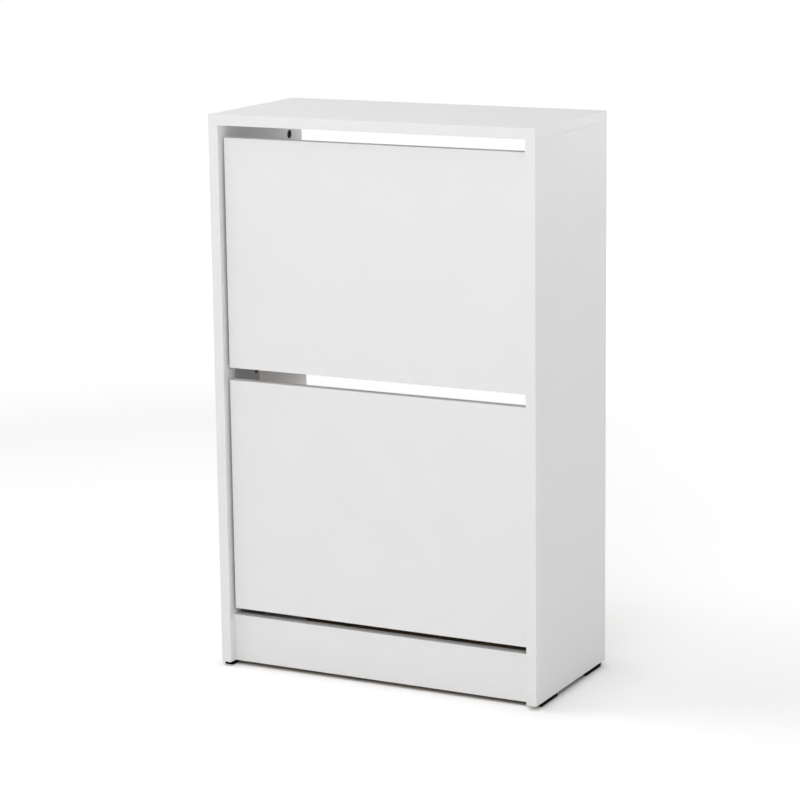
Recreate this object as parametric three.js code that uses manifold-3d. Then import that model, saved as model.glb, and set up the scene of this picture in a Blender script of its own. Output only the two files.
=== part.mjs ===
// Shoe cabinet with two tilt-out compartments.
// Millimetres, +Z up, -Y is the front. The origin is on the floor, under the middle of the cabinet.
// Each compartment is a door with two plastic brackets and three thin boards behind it. It turns on two
// steel pins near the door's lower edge. A stud on each pivot plate runs in a curved slot in the bracket:
// the two ends of that slot are the closed stop and the open stop.
import * as THREE from "three";
import { mergeVertices } from "three/addons/utils/BufferGeometryUtils.js";
import Module from "manifold-3d";

const wasm = await Module();
wasm.setup();

// ---- driving dimensions ----------------------------------------------------------------------------
const WIDTH = 500;
const DEPTH = 240;
const HEIGHT = 800;
const BOARD = 15; // laminated particleboard
const THIN_BOARD = 3; // fibreboard inside the compartments
const FOOT_HEIGHT = 6;
const FIT_GAP = 0.3; // clearance of a piece in its hole, groove or seat

const FRONT = -DEPTH / 2;
const BACK = DEPTH / 2;
const INNER_X = WIDTH / 2 - BOARD; // inner face of a side panel
const SIDE_TOP = HEIGHT - BOARD;

// Doors and plinth, set back from the front edges of the side panels.
const DOOR_HEIGHTS = { upper: 327, lower: 336 };
const DOOR_RECESS = 10;
const DOOR_SIDE_GAP = 4;
const GRIP_GAP = 18; // above each door, for the fingers
const PLINTH_HEIGHT = 69;
const PLINTH_RECESS = 14;
const UPPER_DOOR_Z = SIDE_TOP - GRIP_GAP - DOOR_HEIGHTS.upper;
const LOWER_DOOR_Z = UPPER_DOOR_Z - GRIP_GAP - DOOR_HEIGHTS.lower;
const DOOR_BACK = FRONT + DOOR_RECESS + BOARD;
const DOOR_HALF = INNER_X - DOOR_SIDE_GAP;

// Rear rails: lowest edge above the floor, and height. They stand flush with the back.
const RAILS = {
  upper: { z: 636, height: 92 },
  middle: { z: 392, height: 60 },
  lower: { z: FOOT_HEIGHT, height: 104 },
};

// Feet: distance of the front end from the front edge of the side panel.
const FOOT = { length: 53, width: 14, corner: 1.5, bevel: 1 };
const FOOT_SETBACK = { front_left: 7, front_right: 20, rear_left: 174, rear_right: 174 };

// Cam joints between the top and the sides.
const CAM = { radius: 6, depth: 12, drop: 34, edge: 37, mouth: 3.6 };
const CAM_BOLT = { thread: 2.5, bite: 10, collar: 3.5, neck: 2.1, head: 3.2 };
const DOWEL = { radius: 4, length: 30, inTop: 11, edge: 69 };

// Pivot, measured from the door's lower front edge, in a frame whose axes are depth and height.
const PIVOT = { back: 24, up: 50, pinRadius: 4, pinLength: 24, bore: 11 };
const PIVOT_Y = FRONT + DOOR_RECESS + PIVOT.back;
const STOP = { radius: 50, studRadius: 4, closedAngle: 10, openAngle: 38, play: 0.5 };
const PLATE = { thickness: 3, front: 14, toeFront: 31, back: 96, below: 45, above: 72, corner: 8 };
const PLATE_SCREWS = [
  { depth: 45, up: -28 },
  { depth: 87, up: -19 },
];

// Bracket that carries the thin boards. depth is measured from the front edge of the side panels.
const BRACKET = {
  outerX: 226,
  thickness: 3,
  bottom: 4,
  rear: 210,
  rearTop: 206,
  doorTop: 300,
  flange: 13,
  ribHeight: 5,
  ribWidth: 2.2,
  bossRadius: 7,
};
const BRACKET_SCREW_HEIGHTS = [120, 270];
const FLOOR_UP = 7; // underside of the compartment's floor board above the door's lower edge
const DIVIDER_DEPTH = 116;
const DIVIDER_TOP = 190;
const REAR_BOARD_DEPTH = 204.5;
const REAR_BOARD_TOP = 200;

const SCREW = { head: 3.6, shank: 1.6, headLength: 2.2, length: 15 };
const ROUND = 12; // facets of a bore, pin or cam
const SMALL_ROUND = 8; // facets of a screw

// ---- materials -------------------------------------------------------------------------------------
const finish = (color, roughness, metalness = 0) =>
  new THREE.MeshStandardMaterial({ color, roughness, metalness });
const MATERIALS = {
  laminate: finish(0xf1f1f0, 0.42),
  fibreboard: finish(0xe9e7e2, 0.55),
  fittingPlastic: finish(0xb6b7b8, 0.5),
  blackPlastic: finish(0x121212, 0.45),
  blackMetal: finish(0x1b1b1c, 0.4, 0.6),
  steel: finish(0xb9bcc0, 0.3, 1),
  beech: finish(0xcaa26d, 0.7),
};

// ---- solid modelling helpers -----------------------------------------------------------------------
function toSolid(geometry) {
  const bare = geometry.index ? geometry.toNonIndexed() : geometry.clone();
  bare.deleteAttribute("normal");
  bare.deleteAttribute("uv");
  const merged = mergeVertices(bare, 1e-4);
  return new wasm.Manifold(
    new wasm.Mesh({
      numProp: 3,
      vertProperties: merged.attributes.position.array,
      triVerts: new Uint32Array(merged.index.array),
    }),
  );
}

function toGeometry(solid) {
  const mesh = solid.getMesh();
  const geometry = new THREE.BufferGeometry();
  geometry.setAttribute("position", new THREE.BufferAttribute(mesh.vertProperties, 3));
  geometry.setIndex(new THREE.BufferAttribute(mesh.triVerts, 1));
  const flat = geometry.toNonIndexed();
  flat.computeVertexNormals();
  return flat;
}

const joined = (base, additions) => additions.reduce((all, one) => all.add(one), base);
const cut = (base, cutters) => cutters.reduce((rest, one) => rest.subtract(one), base);

// A box from its lowest to its highest corner.
function boxGeometry([x0, y0, z0], [x1, y1, z1]) {
  const geometry = new THREE.BoxGeometry(x1 - x0, y1 - y0, z1 - z0);
  return geometry.translate((x0 + x1) / 2, (y0 + y1) / 2, (z0 + z1) / 2);
}
const box = (low, high) => toSolid(boxGeometry(low, high));

// A cylinder along X or Z. from is the centre of the end with the lower coordinate.
function rod(axis, radius, length, from, facets = ROUND) {
  const geometry = new THREE.CylinderGeometry(radius, radius, length, facets);
  if (axis === "x") geometry.rotateZ(-Math.PI / 2).translate(length / 2, 0, 0);
  else geometry.rotateX(Math.PI / 2).translate(0, 0, length / 2);
  return toSolid(geometry.translate(...from));
}

// A body of revolution about +Z from [radius, height] pairs that start and end on the axis.
function turned(profile, facets = ROUND) {
  const points = profile.map(([radius, height]) => new THREE.Vector2(radius, height));
  return new THREE.LatheGeometry(points, facets).rotateX(Math.PI / 2);
}

// A shape drawn in depth and height, extruded along +X from x.
function extrudedAlongX(shape, x, thickness, bevel = {}) {
  const geometry = new THREE.ExtrudeGeometry(shape, {
    depth: thickness,
    bevelEnabled: false,
    curveSegments: 6,
    ...bevel,
  });
  const basis = new THREE.Matrix4().makeBasis(
    new THREE.Vector3(0, 1, 0),
    new THREE.Vector3(0, 0, 1),
    new THREE.Vector3(1, 0, 0),
  );
  return toSolid(geometry.applyMatrix4(basis).translate(x, 0, 0));
}

function roundedRectangle(x0, y0, x1, y1, corner) {
  const shape = new THREE.Shape();
  shape.moveTo(x0 + corner, y0);
  shape.lineTo(x1 - corner, y0);
  shape.absarc(x1 - corner, y0 + corner, corner, -Math.PI / 2, 0);
  shape.lineTo(x1, y1 - corner);
  shape.absarc(x1 - corner, y1 - corner, corner, 0, Math.PI / 2);
  shape.lineTo(x0 + corner, y1);
  shape.absarc(x0 + corner, y1 - corner, corner, Math.PI / 2, Math.PI);
  shape.lineTo(x0, y0 + corner);
  shape.absarc(x0 + corner, y0 + corner, corner, Math.PI, Math.PI * 1.5);
  return shape;
}

function node(parent, name, geometry, material) {
  const mesh = new THREE.Mesh(geometry, material);
  mesh.name = name;
  parent.add(mesh);
  return mesh;
}

// A group whose contents are modelled for the right side, and mirrored for the left one.
function sideGroup(parent, side) {
  const group = new THREE.Group();
  group.scale.x = side === "left" ? -1 : 1;
  parent.add(group);
  return group;
}

// ---- fasteners -------------------------------------------------------------------------------------
// A countersunk screw along +Z: its flat head is at z = 0 and its point is below.
function screwGeometry() {
  const { head, shank, headLength, length } = SCREW;
  const tip = 3;
  const body = toSolid(
    turned(
      [
        [0, -length],
        [shank, -length + tip],
        [shank, -headLength],
        [head, -0.3],
        [head, 0],
        [0, 0],
      ],
      SMALL_ROUND,
    ),
  );
  const slot = { half: 0.5, reach: 2, depth: 1.4 };
  const cross = [
    box([-slot.half, -slot.reach, -slot.depth], [slot.half, slot.reach, 1]),
    box([-slot.reach, -slot.half, -slot.depth], [slot.reach, slot.half, 1]),
  ];
  return toGeometry(cut(body, cross));
}

// The hole for that screw, with its countersink, along +Z and open above z = 0.
function screwHole() {
  const { head, shank, headLength, length } = SCREW;
  return turned(
    [
      [0, -length - 0.5],
      [shank + FIT_GAP, -length - 0.5],
      [shank + FIT_GAP, -headLength - FIT_GAP],
      [head + FIT_GAP + 0.1, -0.3],
      [head + FIT_GAP + 0.1, 1],
      [0, 1],
    ],
    SMALL_ROUND,
  );
}

// Turns geometry made along +Z so that +Z becomes -X, which is the way a plate screw's head faces.
const facingInward = (geometry) => geometry.rotateY(-Math.PI / 2);
// Turns geometry made along +Z so that +Z becomes +Y, which is the way a bracket screw's head faces.
const facingBack = (geometry) => geometry.rotateX(-Math.PI / 2);

// Places of the fasteners that more than one piece needs, all for the right-hand side.
const pivotHeights = { upper: UPPER_DOOR_Z + PIVOT.up, lower: LOWER_DOOR_Z + PIVOT.up };
const doorHeights = { upper: UPPER_DOOR_Z, lower: LOWER_DOOR_Z };
const camDepths = { front: FRONT + CAM.edge, rear: BACK - CAM.edge };
const dowelDepths = { front: FRONT + DOWEL.edge, rear: BACK - DOWEL.edge };
const jointX = INNER_X + BOARD / 2; // centre of the side panel's thickness
const camZ = SIDE_TOP - CAM.drop;
const plateFaceX = INNER_X - PLATE.thickness;

const plateScrewPlaces = (level) =>
  PLATE_SCREWS.map(({ depth, up }) => [plateFaceX, FRONT + depth, doorHeights[level] + up]);
const flangeX = BRACKET.outerX - BRACKET.thickness - BRACKET.flange / 2;
const bracketScrewPlaces = (level) =>
  BRACKET_SCREW_HEIGHTS.map((up) => [flangeX, DOOR_BACK + BRACKET.thickness, doorHeights[level] + up]);

// ---- carcass ---------------------------------------------------------------------------------------
function topPanel() {
  const panel = box([-WIDTH / 2, FRONT, SIDE_TOP], [WIDTH / 2, BACK, HEIGHT]);
  const holes = [];
  for (const x of [-jointX, jointX]) {
    for (const y of Object.values(camDepths)) {
      const depth = CAM_BOLT.bite + FIT_GAP;
      holes.push(rod("z", CAM_BOLT.thread + FIT_GAP, depth + 1, [x, y, SIDE_TOP - 1]));
    }
    for (const y of Object.values(dowelDepths)) {
      const depth = DOWEL.inTop + FIT_GAP;
      holes.push(rod("z", DOWEL.radius + FIT_GAP, depth + 1, [x, y, SIDE_TOP - 1]));
    }
  }
  return toGeometry(cut(panel, holes));
}

// The right-hand side panel, with its bores on the inner face and the top edge.
function sidePanel() {
  const panel = box([INNER_X, FRONT, FOOT_HEIGHT], [WIDTH / 2, BACK, SIDE_TOP]);
  const holes = [];
  for (const y of Object.values(camDepths)) {
    holes.push(rod("x", CAM.radius + FIT_GAP, CAM.depth + 1.5, [INNER_X - 1, y, camZ]));
    holes.push(rod("z", CAM_BOLT.collar + FIT_GAP, CAM.drop + 1, [jointX, y, camZ]));
  }
  for (const y of Object.values(dowelDepths)) {
    const depth = DOWEL.length - DOWEL.inTop + FIT_GAP;
    holes.push(rod("z", DOWEL.radius + FIT_GAP, depth + 1, [jointX, y, SIDE_TOP - depth]));
  }
  for (const level of ["upper", "lower"]) {
    const pinHole = [INNER_X - 1, PIVOT_Y, pivotHeights[level]];
    holes.push(rod("x", PIVOT.pinRadius + FIT_GAP, PIVOT.bore + 1, pinHole));
    for (const place of plateScrewPlaces(level)) {
      holes.push(toSolid(facingInward(screwHole()).translate(...place)));
    }
  }
  return toGeometry(cut(panel, holes));
}

function plinthGeometry() {
  const front = FRONT + PLINTH_RECESS;
  const top = FOOT_HEIGHT + PLINTH_HEIGHT;
  return boxGeometry([-INNER_X, front, FOOT_HEIGHT], [INNER_X, front + BOARD, top]);
}

const railGeometry = ({ z, height }) =>
  boxGeometry([-INNER_X, BACK - BOARD, z], [INNER_X, BACK, z + height]);

// A glide nailed under a side panel: a bar with rounded corners and a bevelled lower edge.
function footGeometry(setback) {
  const { length, width, corner, bevel } = FOOT;
  const x = INNER_X + (BOARD - width) / 2;
  const y = FRONT + setback;
  const outline = roundedRectangle(
    x + bevel,
    y + bevel,
    x + width - bevel,
    y + length - bevel,
    corner,
  );
  const geometry = new THREE.ExtrudeGeometry(outline, {
    depth: FOOT_HEIGHT - 2 * bevel,
    bevelThickness: bevel,
    bevelSize: bevel,
    bevelSegments: 1,
    curveSegments: 3,
  });
  return geometry.translate(0, 0, bevel);
}

// The cam: a short drum with a screwdriver cross, and a mouth that the bolt's head enters from above.
function camGeometry() {
  const drum = rod("x", CAM.radius, CAM.depth, [0, 0, 0]);
  const cross = { half: 0.9, reach: 4, depth: 2.2 };
  const mouthX = jointX - INNER_X;
  const cutters = [
    rod("z", CAM.mouth, CAM.radius + 4, [mouthX, 0, -3.7]),
    box([-1, -cross.half, -cross.reach], [cross.depth, cross.half, cross.reach]),
    box([-1, -cross.reach, -cross.half], [cross.depth, cross.reach, cross.half]),
  ];
  return toGeometry(cut(drum, cutters));
}

// The bolt of a cam joint, with z = 0 at the underside of the top panel.
function camBoltGeometry() {
  const { thread, bite, collar, neck, head } = CAM_BOLT;
  const headZ = -CAM.drop;
  return turned([
    [0, headZ - head],
    [head * 0.7, headZ - head * 0.7],
    [head, headZ],
    [head * 0.7, headZ + head * 0.7],
    [neck, headZ + head],
    [neck, -12],
    [collar, -10],
    [collar, -0.5],
    [thread, -0.5],
    [thread, bite - 1],
    [thread - 1, bite],
    [0, bite],
  ]);
}

function dowelGeometry() {
  const { radius, length, inTop } = DOWEL;
  const chamfer = 1;
  return turned([
    [0, inTop - length],
    [radius - chamfer, inTop - length],
    [radius, inTop - length + chamfer],
    [radius, inTop - chamfer],
    [radius - chamfer, inTop],
    [0, inTop],
  ]);
}

function addCarcass(cabinet) {
  node(cabinet, "top_panel", topPanel(), MATERIALS.laminate);
  node(cabinet, "plinth", plinthGeometry(), MATERIALS.laminate);
  for (const [place, rail] of Object.entries(RAILS)) {
    node(cabinet, `rear_rail_${place}`, railGeometry(rail), MATERIALS.laminate);
  }
  for (const side of ["left", "right"]) {
    const group = sideGroup(cabinet, side);
    node(group, `side_panel_${side}`, sidePanel(), MATERIALS.laminate);
    for (const end of ["front", "rear"]) {
      const foot = footGeometry(FOOT_SETBACK[`${end}_${side}`]);
      node(group, `foot_${end}_${side}`, foot, MATERIALS.blackPlastic);
      const cam = node(group, `cam_lock_${end}_${side}`, camGeometry(), MATERIALS.blackMetal);
      cam.position.set(INNER_X, camDepths[end], camZ);
      const bolt = node(group, `cam_bolt_${end}_${side}`, camBoltGeometry(), MATERIALS.steel);
      bolt.position.set(jointX, camDepths[end], SIDE_TOP);
      const dowel = node(group, `dowel_${end}_${side}`, dowelGeometry(), MATERIALS.beech);
      dowel.position.set(jointX, dowelDepths[end], SIDE_TOP);
    }
  }
}

// ---- pivot plates ----------------------------------------------------------------------------------
// Outline of a plate, in depth and height. Its toe is set back, to stand behind the plinth.
function plateOutline(doorZ) {
  const { corner } = PLATE;
  const front = FRONT + PLATE.front;
  const toe = FRONT + PLATE.toeFront;
  const back = FRONT + PLATE.back;
  const low = doorZ - PLATE.below;
  const step = doorZ - 4;
  const high = doorZ + PLATE.above;
  const shape = new THREE.Shape();
  shape.moveTo(toe + corner, low);
  shape.lineTo(back - corner, low);
  shape.absarc(back - corner, low + corner, corner, -Math.PI / 2, 0);
  shape.lineTo(back, high - corner);
  shape.absarc(back - corner, high - corner, corner, 0, Math.PI / 2);
  shape.lineTo(front + corner, high);
  shape.absarc(front + corner, high - corner, corner, Math.PI / 2, Math.PI);
  shape.lineTo(front, step);
  shape.lineTo(toe, step);
  shape.lineTo(toe, low + corner);
  shape.absarc(toe + corner, low + corner, corner, Math.PI, Math.PI * 1.5);
  return shape;
}

// The plate on the right-hand side panel. It holds the pivot pin and the stop stud.
function pivotPlate(level) {
  const outline = plateOutline(doorHeights[level]);
  const angle = THREE.MathUtils.degToRad(STOP.closedAngle);
  const studY = PIVOT_Y + STOP.radius * Math.cos(angle);
  const studZ = pivotHeights[level] + STOP.radius * Math.sin(angle);
  const studEnd = BRACKET.outerX - BRACKET.thickness - 1;
  const stud = rod("x", STOP.studRadius, INNER_X - 1 - studEnd, [studEnd, studY, studZ]);
  const collar = rod("x", STOP.studRadius + 3, 3, [plateFaceX - 2, studY, studZ]);
  const solid = joined(extrudedAlongX(outline, plateFaceX, PLATE.thickness), [stud, collar]);
  const pinHole = [plateFaceX - 1, PIVOT_Y, pivotHeights[level]];
  const holes = [rod("x", PIVOT.pinRadius + FIT_GAP, PLATE.thickness + 2, pinHole)];
  for (const place of plateScrewPlaces(level)) {
    holes.push(toSolid(facingInward(screwHole()).translate(...place)));
  }
  return toGeometry(cut(solid, holes));
}

function addPivotPlates(cabinet) {
  for (const side of ["left", "right"]) {
    const group = sideGroup(cabinet, side);
    for (const level of ["upper", "lower"]) {
      node(group, `${level}_pivot_plate_${side}`, pivotPlate(level), MATERIALS.fittingPlastic);
      plateScrewPlaces(level).forEach((place, index) => {
        const name = `${level}_plate_screw_${side}_${index + 1}`;
        const screw = node(group, name, facingInward(screwGeometry()), MATERIALS.blackMetal);
        screw.position.set(...place);
      });
    }
  }
}

// ---- compartments ----------------------------------------------------------------------------------
function doorGeometry(level) {
  const z = doorHeights[level];
  const front = FRONT + DOOR_RECESS;
  const door = box([-DOOR_HALF, front, z], [DOOR_HALF, DOOR_BACK, z + DOOR_HEIGHTS[level]]);
  const holes = [];
  for (const [x, y, height] of bracketScrewPlaces(level)) {
    for (const sign of [-1, 1]) {
      holes.push(toSolid(facingBack(screwHole()).translate(sign * x, y, height)));
    }
  }
  return toGeometry(cut(door, holes));
}

// Outline of the bracket's web, in depth from the cabinet's middle and height above the floor.
function bracketOutline(doorZ) {
  const start = DOOR_BACK;
  const rear = FRONT + BRACKET.rear;
  const shape = new THREE.Shape();
  shape.moveTo(start, doorZ + BRACKET.bottom);
  shape.lineTo(rear - 8, doorZ + BRACKET.bottom);
  shape.quadraticCurveTo(rear, doorZ + BRACKET.bottom, rear, doorZ + BRACKET.bottom + 8);
  shape.lineTo(rear, doorZ + BRACKET.rearTop - 6);
  shape.quadraticCurveTo(rear, doorZ + BRACKET.rearTop, rear - 8, doorZ + BRACKET.rearTop + 3);
  shape.quadraticCurveTo(rear - 80, doorZ + 232, start + 24, doorZ + BRACKET.doorTop - 4);
  shape.quadraticCurveTo(start + 14, doorZ + BRACKET.doorTop, start, doorZ + BRACKET.doorTop);
  shape.lineTo(start, doorZ + BRACKET.bottom);
  return shape;
}

// The curved slot that the stop stud runs in, as seen with the door shut.
function stopSlot(pivotZ) {
  const half = STOP.studRadius + STOP.play;
  const from = THREE.MathUtils.degToRad(STOP.closedAngle);
  const to = THREE.MathUtils.degToRad(STOP.closedAngle - STOP.openAngle);
  const inner = STOP.radius - half;
  const outer = STOP.radius + half;
  const at = (angle) => [PIVOT_Y + STOP.radius * Math.cos(angle), pivotZ + STOP.radius * Math.sin(angle)];
  const shape = new THREE.Shape();
  shape.absarc(PIVOT_Y, pivotZ, outer, to, from, false);
  shape.absarc(...at(from), half, from, from + Math.PI, false);
  shape.absarc(PIVOT_Y, pivotZ, inner, from, to, true);
  shape.absarc(...at(to), half, to + Math.PI, to + 2 * Math.PI, false);
  return shape;
}

function bracketGeometry(level) {
  const doorZ = doorHeights[level];
  const pivotZ = pivotHeights[level];
  const webX = BRACKET.outerX - BRACKET.thickness;
  const ribX = webX - BRACKET.ribHeight;
  const { ribWidth } = BRACKET;
  const web = extrudedAlongX(bracketOutline(doorZ), webX, BRACKET.thickness);
  const start = DOOR_BACK;
  const flange = box(
    [webX - BRACKET.flange, start, doorZ + 70],
    [webX + 1, start + BRACKET.thickness, doorZ + BRACKET.doorTop - 4],
  );
  const boss = rod("x", BRACKET.bossRadius, plateFaceX - 0.5 - webX, [webX, PIVOT_Y, pivotZ]);
  const floorTop = FLOOR_UP + THIN_BOARD + FIT_GAP;
  // Ribs that hold the ends of the boards, as [depth, height] corners above the door's lower edge.
  const ribs = [
    [start - FRONT, BRACKET.bottom, BRACKET.rear - 2, FLOOR_UP - FIT_GAP],
    [start - FRONT, floorTop, DIVIDER_DEPTH - ribWidth - FIT_GAP, floorTop + ribWidth],
  ];
  const grooves = [
    [DIVIDER_DEPTH, DIVIDER_TOP],
    [REAR_BOARD_DEPTH, REAR_BOARD_TOP],
  ];
  for (const [depth, top] of grooves) {
    ribs.push([depth - ribWidth - FIT_GAP, floorTop, depth - FIT_GAP, top]);
    const behind = depth + THIN_BOARD + FIT_GAP;
    ribs.push([behind, floorTop, Math.min(behind + ribWidth, BRACKET.rear), top]);
  }
  const ribSolids = ribs.map(([d0, h0, d1, h1]) =>
    box([ribX, FRONT + d0, doorZ + h0], [webX + 1, FRONT + d1, doorZ + h1]),
  );
  const cutters = [
    extrudedAlongX(stopSlot(pivotZ), ribX - 1, BRACKET.ribHeight + BRACKET.thickness + 2),
    rod("x", PIVOT.pinRadius + FIT_GAP, 40, [webX - 20, PIVOT_Y, pivotZ]),
  ];
  for (const place of bracketScrewPlaces(level)) {
    cutters.push(toSolid(facingBack(screwHole()).translate(...place)));
  }
  return toGeometry(cut(joined(web, [flange, boss, ...ribSolids]), cutters));
}

// The three thin boards, as [depth, height] corners above the door's lower edge.
const thinBoards = {
  floor_board: [DOOR_BACK - FRONT + 0.5, FLOOR_UP, BRACKET.rear - 1.5, FLOOR_UP + THIN_BOARD],
  divider_board: [
    DIVIDER_DEPTH,
    FLOOR_UP + THIN_BOARD + FIT_GAP,
    DIVIDER_DEPTH + THIN_BOARD,
    DIVIDER_TOP,
  ],
  rear_board: [
    REAR_BOARD_DEPTH,
    FLOOR_UP + THIN_BOARD + FIT_GAP,
    REAR_BOARD_DEPTH + THIN_BOARD,
    REAR_BOARD_TOP,
  ],
};

function thinBoardGeometry(level, [d0, h0, d1, h1]) {
  const half = BRACKET.outerX - BRACKET.thickness - 0.5;
  const z = doorHeights[level];
  return boxGeometry([-half, FRONT + d0, z + h0], [half, FRONT + d1, z + h1]);
}

function pivotPinGeometry() {
  const { pinRadius, pinLength } = PIVOT;
  const chamfer = 0.8;
  return turned([
    [0, 0],
    [pinRadius - chamfer, 0],
    [pinRadius, chamfer],
    [pinRadius, pinLength - chamfer],
    [pinRadius - chamfer, pinLength],
    [0, pinLength],
  ]).rotateY(Math.PI / 2);
}

function addCompartment(cabinet, level) {
  const compartment = new THREE.Group();
  cabinet.add(compartment);
  node(compartment, `${level}_door`, doorGeometry(level), MATERIALS.laminate);
  for (const [name, corners] of Object.entries(thinBoards)) {
    const geometry = thinBoardGeometry(level, corners);
    node(compartment, `${level}_${name}`, geometry, MATERIALS.fibreboard);
  }
  for (const side of ["left", "right"]) {
    const group = sideGroup(compartment, side);
    const bracket = bracketGeometry(level);
    node(group, `${level}_bracket_${side}`, bracket, MATERIALS.fittingPlastic);
    const pin = node(group, `${level}_pivot_pin_${side}`, pivotPinGeometry(), MATERIALS.steel);
    pin.position.set(BRACKET.outerX - BRACKET.thickness - 3, PIVOT_Y, pivotHeights[level]);
    bracketScrewPlaces(level).forEach((place, index) => {
      const name = `${level}_bracket_screw_${side}_${index + 1}`;
      const screw = node(group, name, facingBack(screwGeometry()), MATERIALS.steel);
      screw.position.set(...place);
    });
  }
}

// ---- assembly --------------------------------------------------------------------------------------
const shoeCabinet = new THREE.Group();
shoeCabinet.name = "shoe_cabinet";
addCarcass(shoeCabinet);
addPivotPlates(shoeCabinet);
addCompartment(shoeCabinet, "upper");
addCompartment(shoeCabinet, "lower");

export default shoeCabinet;
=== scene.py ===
# Looks of the shoe cabinet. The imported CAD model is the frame. Lengths here are in millimetres, and every
# mesh is scaled to metres when it is finished. -Y is the front.
import math

import bmesh
import bpy
from mathutils import Matrix, Vector


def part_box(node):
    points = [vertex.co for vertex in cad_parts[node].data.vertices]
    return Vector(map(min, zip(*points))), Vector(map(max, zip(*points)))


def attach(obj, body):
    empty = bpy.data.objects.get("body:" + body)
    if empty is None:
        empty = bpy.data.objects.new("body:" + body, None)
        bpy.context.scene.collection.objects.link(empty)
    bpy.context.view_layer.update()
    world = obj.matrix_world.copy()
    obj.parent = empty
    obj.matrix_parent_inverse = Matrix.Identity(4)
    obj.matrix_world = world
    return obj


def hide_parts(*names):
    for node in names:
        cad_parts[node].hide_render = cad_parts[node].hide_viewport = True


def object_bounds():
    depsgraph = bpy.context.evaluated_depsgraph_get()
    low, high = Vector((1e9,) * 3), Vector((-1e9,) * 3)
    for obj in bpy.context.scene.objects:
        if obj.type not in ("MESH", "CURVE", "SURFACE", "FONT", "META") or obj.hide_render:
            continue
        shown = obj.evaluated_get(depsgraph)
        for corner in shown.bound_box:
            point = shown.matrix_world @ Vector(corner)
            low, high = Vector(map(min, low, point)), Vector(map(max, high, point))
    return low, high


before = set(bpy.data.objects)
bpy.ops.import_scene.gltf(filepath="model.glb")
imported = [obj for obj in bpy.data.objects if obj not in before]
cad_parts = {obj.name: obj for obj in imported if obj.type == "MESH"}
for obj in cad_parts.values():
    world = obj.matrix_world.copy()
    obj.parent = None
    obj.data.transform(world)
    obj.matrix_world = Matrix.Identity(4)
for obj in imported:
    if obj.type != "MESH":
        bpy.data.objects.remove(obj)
cad_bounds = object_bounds()

MM = 0.001
LEVELS = ("upper", "lower")
SIDES = ("left", "right")
ENDS = ("front", "rear")

# Fittings, as the CAD has them. Depths are from the front edge of the side panels, and heights from the
# door's lower edge.
SCREW_LENGTH = 15
PIVOT_DEPTH = 34
PIVOT_UP = 50
PIN_RADIUS = 4
STOP_RADIUS = 50
STUD_RADIUS = 4
STOP_CLOSED = 10  # degrees
STOP_TRAVEL = 38  # degrees
SLOT_HALF = 4.5
CAM_RADIUS = 6
CAM_DEPTH = 12
CAM_DROP = 34  # from the top of the side panel down to the cam
PLATE_THICKNESS = 3
PLATE_TOE = 31  # the toe's depth, which clears the plinth
PLATE_STEP = -4  # height of the toe's upper end
BRACKET_OUTER = 226
BRACKET_WEB = 3
BRACKET_BOTTOM = 4
BRACKET_TOP = 300
FLOOR_UP = 7
THIN_BOARD = 3
FIT = 0.3  # clearance of a piece in its groove or bore


# ---- frame ---------------------------------------------------------------------------------------------
def node_box(node):
    low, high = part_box(node)
    return low / MM, high / MM


def node_middle(node):
    low, high = node_box(node)
    return (low + high) / 2


CABINET_LOW = cad_bounds[0] / MM
CABINET_HIGH = cad_bounds[1] / MM
FRONT = CABINET_LOW.y
INNER_X = node_box("plinth")[1].x
PANEL_BOTTOM = node_box("side_panel_left")[0].z
SIDE_TOP = node_box("side_panel_left")[1].z
DOOR_BOTTOM = {level: node_box(f"{level}_door")[0].z for level in LEVELS}
DOOR_BACK = node_box("upper_door")[1].y
BODY = {level: f"{level}_compartment" for level in LEVELS}


def pivot_place(level):
    """Depth and height of a compartment's pins."""
    return FRONT + PIVOT_DEPTH, DOOR_BOTTOM[level] + PIVOT_UP


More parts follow.
